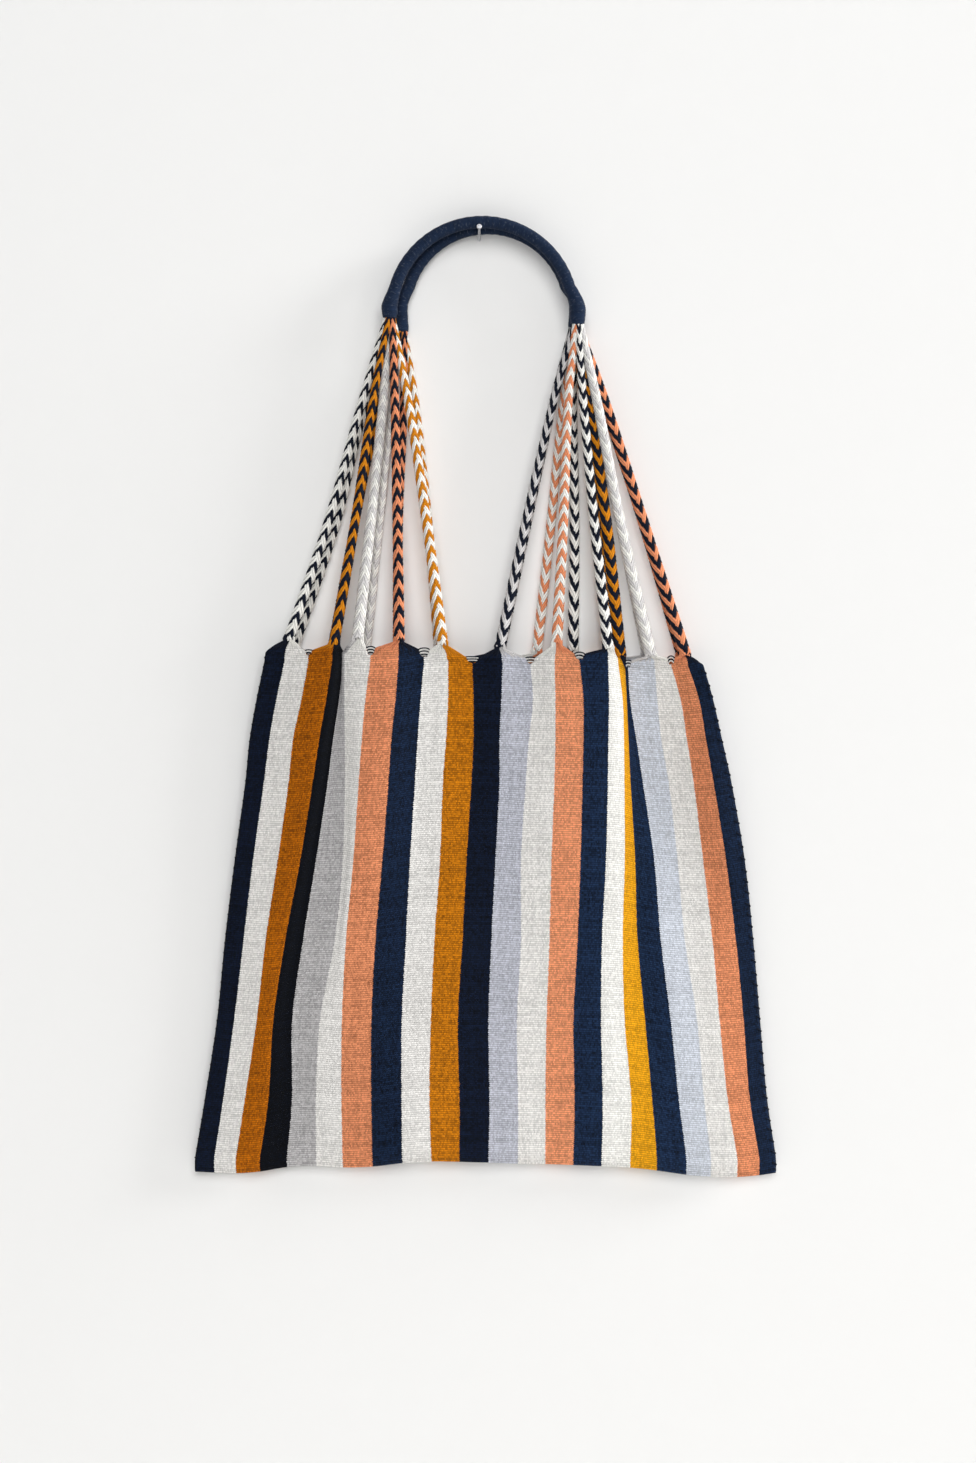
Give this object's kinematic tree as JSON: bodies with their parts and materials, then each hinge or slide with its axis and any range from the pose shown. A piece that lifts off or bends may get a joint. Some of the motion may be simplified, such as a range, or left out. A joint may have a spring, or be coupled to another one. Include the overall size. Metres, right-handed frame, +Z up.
{
  "type": "hammock bag on a nail",
  "caption": "Striped hand-woven cotton hammock bag, a flat folded pouch on braided straps gathered into wrapped handles, hanging from a nail.",
  "frame": {"origin": "centre of the nail's flat cut end, in the plane of the wall", "axes": "+X to the viewer's right, +Y into the wall, +Z up"},
  "size_m": [0.4401, 0.0312, 0.7153],
  "materials": {
    "striped_cloth": "dense warp-faced cotton weave with vertical stripes of navy, off-white, mustard, pale grey and coral",
    "plaited_yarn": "matt cotton yarn in two colours, plaited round",
    "handle_yarn": "navy cotton yarn wound closely, matt and slightly fuzzy",
    "nail_steel": "bright zinc plating, slightly scuffed"
  },
  "bodies": {
    "root": {"bag_cloth": "striped_cloth", "braid_front_01": "plaited_yarn", "braid_front_02": "plaited_yarn", "braid_front_03": "plaited_yarn", "braid_front_04": "plaited_yarn", "braid_front_05": "plaited_yarn", "braid_front_06": "plaited_yarn", "braid_front_07": "plaited_yarn", "braid_front_08": "plaited_yarn", "braid_front_09": "plaited_yarn", "braid_front_10": "plaited_yarn", "braid_front_11": "plaited_yarn", "braid_back_01": "plaited_yarn", "braid_back_02": "plaited_yarn", "braid_back_03": "plaited_yarn", "braid_back_04": "plaited_yarn", "braid_back_05": "plaited_yarn", "braid_back_06": "plaited_yarn", "braid_back_07": "plaited_yarn", "braid_back_08": "plaited_yarn", "braid_back_09": "plaited_yarn", "braid_back_10": "plaited_yarn", "braid_back_11": "plaited_yarn", "handle_front": "handle_yarn", "handle_back": "handle_yarn", "nail": "nail_steel"}
  },
  "joints": []
}
